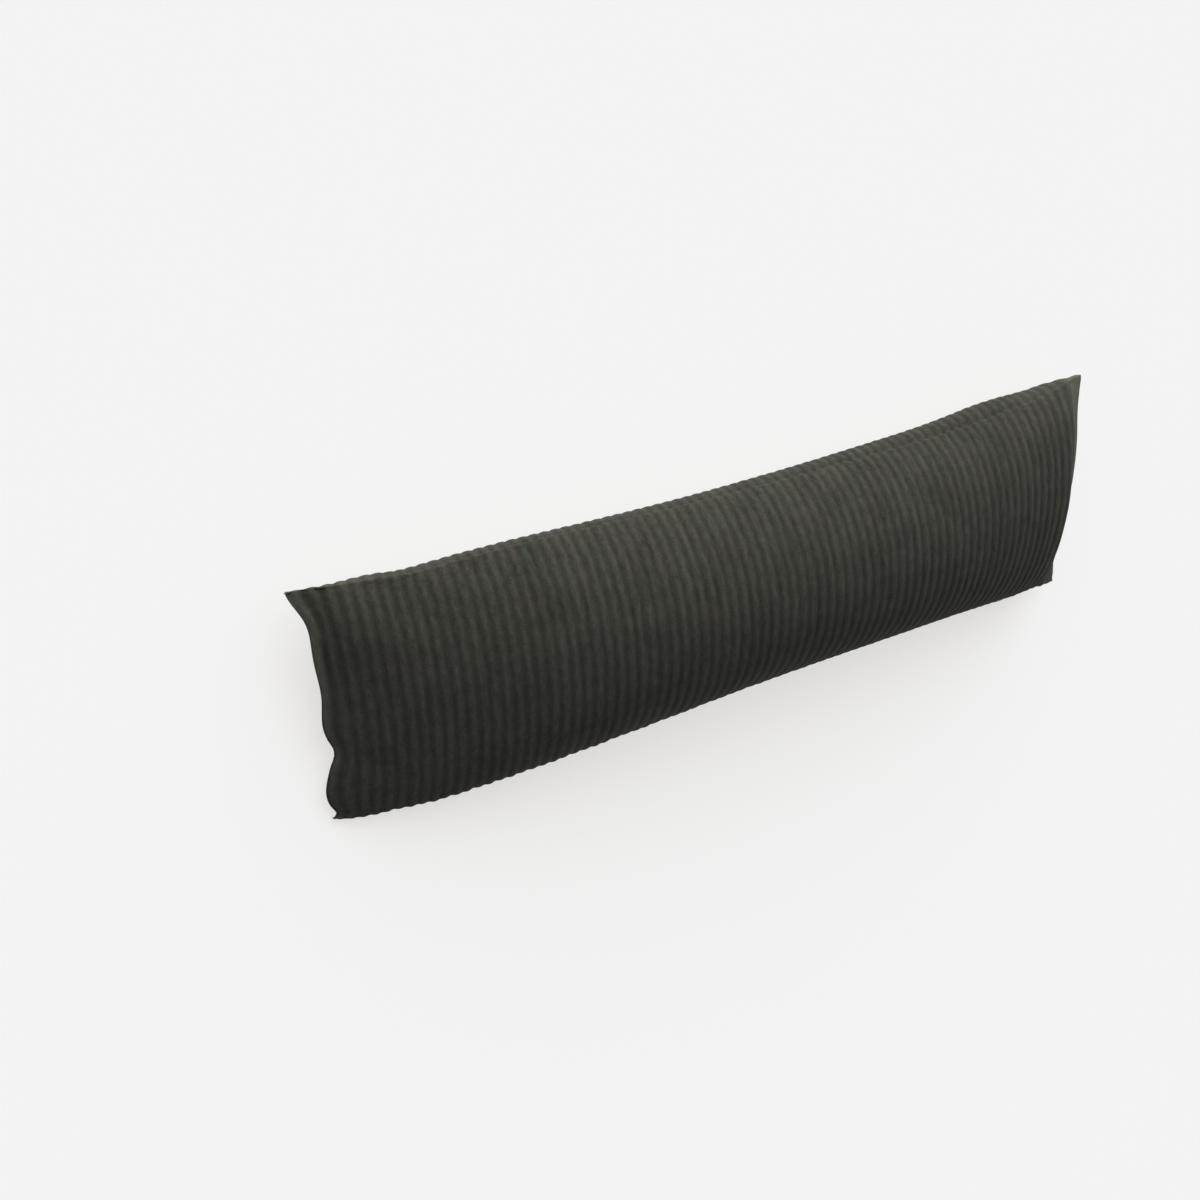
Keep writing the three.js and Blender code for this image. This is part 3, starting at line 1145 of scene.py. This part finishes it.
        # Streaks, mottles, flecks and patches are random tone; the last two marks are painted
        # highlights on the end ribs and the upper ears.
        shade = 1.0
        for mask, amount in (
            (self.streaks.lay(net, streaks_at), self.streak),
            (mottles, self.mottle),
            (flecks, self.fleck),
            (self.patches.lay(net, place), self.patch),
            (painted_end_highlight, self.end_highlight_lightness),
            (ear, self.ear_highlight_lightness),
        ):
            shade = net.math("MULTIPLY_ADD", mask, amount, shade)

        hue = self.tints.lay(net, place)
        hue = net.clamp(net.math("MULTIPLY_ADD", hue, self.tint_contrast, 0.5))
        tinted = net.blend(hue, self.cool, self.warm)
        crest = net.blend(self.tint, self.crest, tinted)
        # Between the ribs the colour goes to the valley colour, which carries painted shade in the
        # grooves.
        cloth = net.blend(pile, self.valley_and_groove_shade, crest)
        colour = net.scale(cloth, shade)
        tree.links.new(colour, shader.inputs["Base Color"])

        rough = net.math("MULTIPLY_ADD", mottles, self.roughness_swing, self.roughness)
        tree.links.new(rough, shader.inputs["Roughness"])
        shader.inputs["Sheen Weight"].default_value = self.sheen
        shader.inputs["Sheen Roughness"].default_value = self.sheen_roughness
        shader.inputs["Sheen Tint"].default_value = self.sheen_tint
        shader.inputs["Specular IOR Level"].default_value = self.gloss

        nap = net.math("MULTIPLY_ADD", flecks, self.hair, self.tufts.lay(net, place))
        bump = tree.nodes.new("ShaderNodeBump")
        bump.inputs["Strength"].default_value = self.pile_strength
        bump.inputs["Distance"].default_value = self.pile_depth
        tree.links.new(net.math("MULTIPLY", nap, pile), bump.inputs["Height"])
        tree.links.new(bump.outputs[0], shader.inputs["Normal"])
        return material

    def attribute(self, tree: bpy.types.NodeTree, name: str) -> bpy.types.NodeSocket:
        """Reads a value that the mesh carries.

        Args:
            tree: The material's tree.
            name: Name of the value.

        Returns:
            The socket that gives it.
        """
        node = tree.nodes.new("ShaderNodeAttribute")
        node.attribute_name = name
        return node.outputs["Fac"]


@dataclass
class Cushion:
    """The stuffed cover, from its form to its finish."""

    form: CushionForm = field(default_factory=CushionForm)
    filling: Filling = field(default_factory=Filling)
    creases: Creases = field(default_factory=Creases)
    ribs: RibNodes = field(default_factory=RibNodes)
    finish: Corduroy = field(default_factory=Corduroy)
    columns_each: int = 4
    rows_each: int = 2
    fill: float = 0.6

    def build(self) -> bpy.types.Object:
        """Builds the cushion where its solid lies.

        Returns:
            The finished piece.
        """
        grid = self.place(self.form.grid())
        grid = self.filling.press(grid)
        grid = self.creases.lay(grid.refined(self.columns_each, self.rows_each))
        cover = self.cover(grid)
        cushion = self.ribs.raise_on(cover, self.finish.build())
        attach(cushion, "root")
        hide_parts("cushion")
        return cushion

    def place(self, grid: ClothGrid) -> ClothGrid:
        """Centres the form on the solid's box.

        Args:
            grid: The form as it was worked out.

        Returns:
            The form in the shared frame.
        """
        low, high = (np.array(corner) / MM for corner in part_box("cushion"))
        points = grid.points()
        own = (points.min(axis=0) + points.max(axis=0)) / 2
        shift = (low + high) / 2 - own
        shift[2] = 0
        return grid.moved(np.broadcast_to(shift, points.shape))

    def cover(self, grid: ClothGrid) -> bpy.types.Object:
        """Makes the smooth cover, with the values that its ribs and its finish read.

        Args:
            grid: The form of the cushion.

        Returns:
            The cover.
        """
        mesh = new_mesh("cushion_cover", grid.points() * MM, grid.quads())
        wale = (grid.stations[:, None] / CUT_LENGTH + 0.5) * WALE_COUNT
        wale = np.broadcast_to(wale, grid.face.shape[:2])
        across = np.broadcast_to(CUT_WIDTH / 2 * grid.steps[None, :], grid.face.shape[:2])
        carried = {
            "wale": grid.gather(wale, wale),
            "across": grid.gather(across, across),
            "edge": seam_distance(grid),
        }
        for name, values in carried.items():
            layer = mesh.attributes.new(name, "FLOAT", "POINT")
            layer.data.foreach_set("value", np.ascontiguousarray(values, dtype=np.float32))
        cover = bpy.data.objects.new("cushion_cover", mesh)
        bpy.context.scene.collection.objects.link(cover)
        return cover


@dataclass
class Studio:
    """The pale floor, the soft light and the camera."""

    floor_size: float = 14.0
    floor_tone: tuple[float, float, float, float] = (0.45, 0.45, 0.45, 1)
    floor_glow: tuple[float, float, float, float] = (0.635, 0.62, 0.595, 1)
    floor_clouds: float = 0.003
    floor_cloud_scale: float = 1.5
    floor_roughness: float = 0.9
    sky_colour: tuple[float, float, float, float] = (0.95, 1.0, 1.09, 1)
    sky_level: float = 0.10
    sky_swing: float = 3.5
    sky_narrowness: float = 3.0
    sky_from: tuple[float, float, float] = (0.12, 0.93, 0.20)
    sun_strength: float = 0.45
    sun_angle: float = 30.0
    sun_from: tuple[float, float, float] = (0.12, 0.87, 0.40)
    camera_place: tuple[float, float, float] = (-0.8393, 0.6682, 1.3598)
    camera_right: tuple[float, float, float] = (0.87081, -0.09342, 0.48266)
    camera_up: tuple[float, float, float] = (0.26760, 0.91366, -0.30596)
    camera_lens: float = 43.62
    camera_sensor: float = 36.0

    def build(self) -> bpy.types.Object:
        """Builds the stage.

        Returns:
            The floor.
        """
        scene = bpy.context.scene
        scene.view_settings.view_transform = "Standard"
        self.surround(scene)
        self.light(scene)
        self.camera(scene)
        floor = self.floor(scene)
        return floor

    def surround(self, scene: bpy.types.Scene) -> None:
        """Surrounds the stage with soft light, most of it from beyond the upper seam.

        Args:
            scene: The scene.
        """
        world = bpy.data.worlds.new("studio")
        world.use_nodes = True
        tree = world.node_tree
        net = Wiring(tree)
        place = tree.nodes.new("ShaderNodeTexCoord").outputs["Generated"]
        facing = net.math("MAXIMUM", net.dot(place, Vector(self.sky_from).normalized()), 0.0)
        lobe = net.math("POWER", facing, self.sky_narrowness)
        strength = net.math("MULTIPLY_ADD", lobe, self.sky_swing, self.sky_level)
        background = tree.nodes["Background"]
        background.inputs["Color"].default_value = self.sky_colour
        tree.links.new(strength, background.inputs["Strength"])
        scene.world = world

    def light(self, scene: bpy.types.Scene) -> None:
        """Adds the large soft light.

        Args:
            scene: The scene.
        """
        sun = bpy.data.lights.new("soft_light", "SUN")
        sun.energy = self.sun_strength
        sun.color = self.sky_colour[:3]
        sun.angle = math.radians(self.sun_angle)
        lamp = bpy.data.objects.new("soft_light", sun)
        aim = Vector(self.sun_from).normalized()
        lamp.rotation_euler = aim.to_track_quat("Z", "Y").to_euler()
        scene.collection.objects.link(lamp)

    def camera(self, scene: bpy.types.Scene) -> None:
        """Adds the camera at the photograph's angle.

        Args:
            scene: The scene.
        """
        lens = bpy.data.cameras.new("camera")
        lens.sensor_width = self.camera_sensor
        lens.lens = self.camera_lens
        right = Vector(self.camera_right).normalized()
        up = Vector(self.camera_up)
        up = (up - up.dot(right) * right).normalized()
        axes = Matrix((right, up, right.cross(up))).transposed()
        camera = bpy.data.objects.new("camera", lens)
        camera.matrix_world = Matrix.Translation(self.camera_place) @ axes.to_4x4()
        scene.collection.objects.link(camera)
        scene.camera = camera

    def floor(self, scene: bpy.types.Scene) -> bpy.types.Object:
        """Lays the floor.

        Args:
            scene: The scene.

        Returns:
            The floor.
        """
        half = self.floor_size / 2
        corners = np.array([[-half, -half, 0], [half, -half, 0], [half, half, 0], [-half, half, 0]])
        mesh = new_mesh("studio_floor", corners, np.array([[0, 1, 2, 3]]))
        material = bpy.data.materials.new("studio_floor")
        material.use_nodes = True
        net = Wiring(material.node_tree)
        shader = material.node_tree.nodes["Principled BSDF"]
        place = material.node_tree.nodes.new("ShaderNodeTexCoord").outputs["Object"]
        clouds = net.noise(place, self.floor_cloud_scale)
        shade = net.math("MULTIPLY_ADD", clouds, self.floor_clouds, 1.0)
        tone = net.scale(self.floor_tone[:3], shade)
        material.node_tree.links.new(tone, shader.inputs["Base Color"])
        shader.inputs["Roughness"].default_value = self.floor_roughness
        shader.inputs["Specular IOR Level"].default_value = 0.0
        shader.inputs["Emission Color"].default_value = self.floor_glow
        shader.inputs["Emission Strength"].default_value = 1.0
        mesh.materials.append(material)
        floor = bpy.data.objects.new("studio_floor", mesh)
        scene.collection.objects.link(floor)
        return floor


def main() -> None:
    """Builds every piece in order and reports it."""
    logging.basicConfig(level=logging.INFO, format="%(message)s")
    cushion = Cushion().build()
    LOG.info("%s: %d points", cushion.name, len(cushion.data.vertices))
    floor = Studio().build()
    LOG.info("%s: laid", floor.name)


if __name__ == "__main__":
    main()
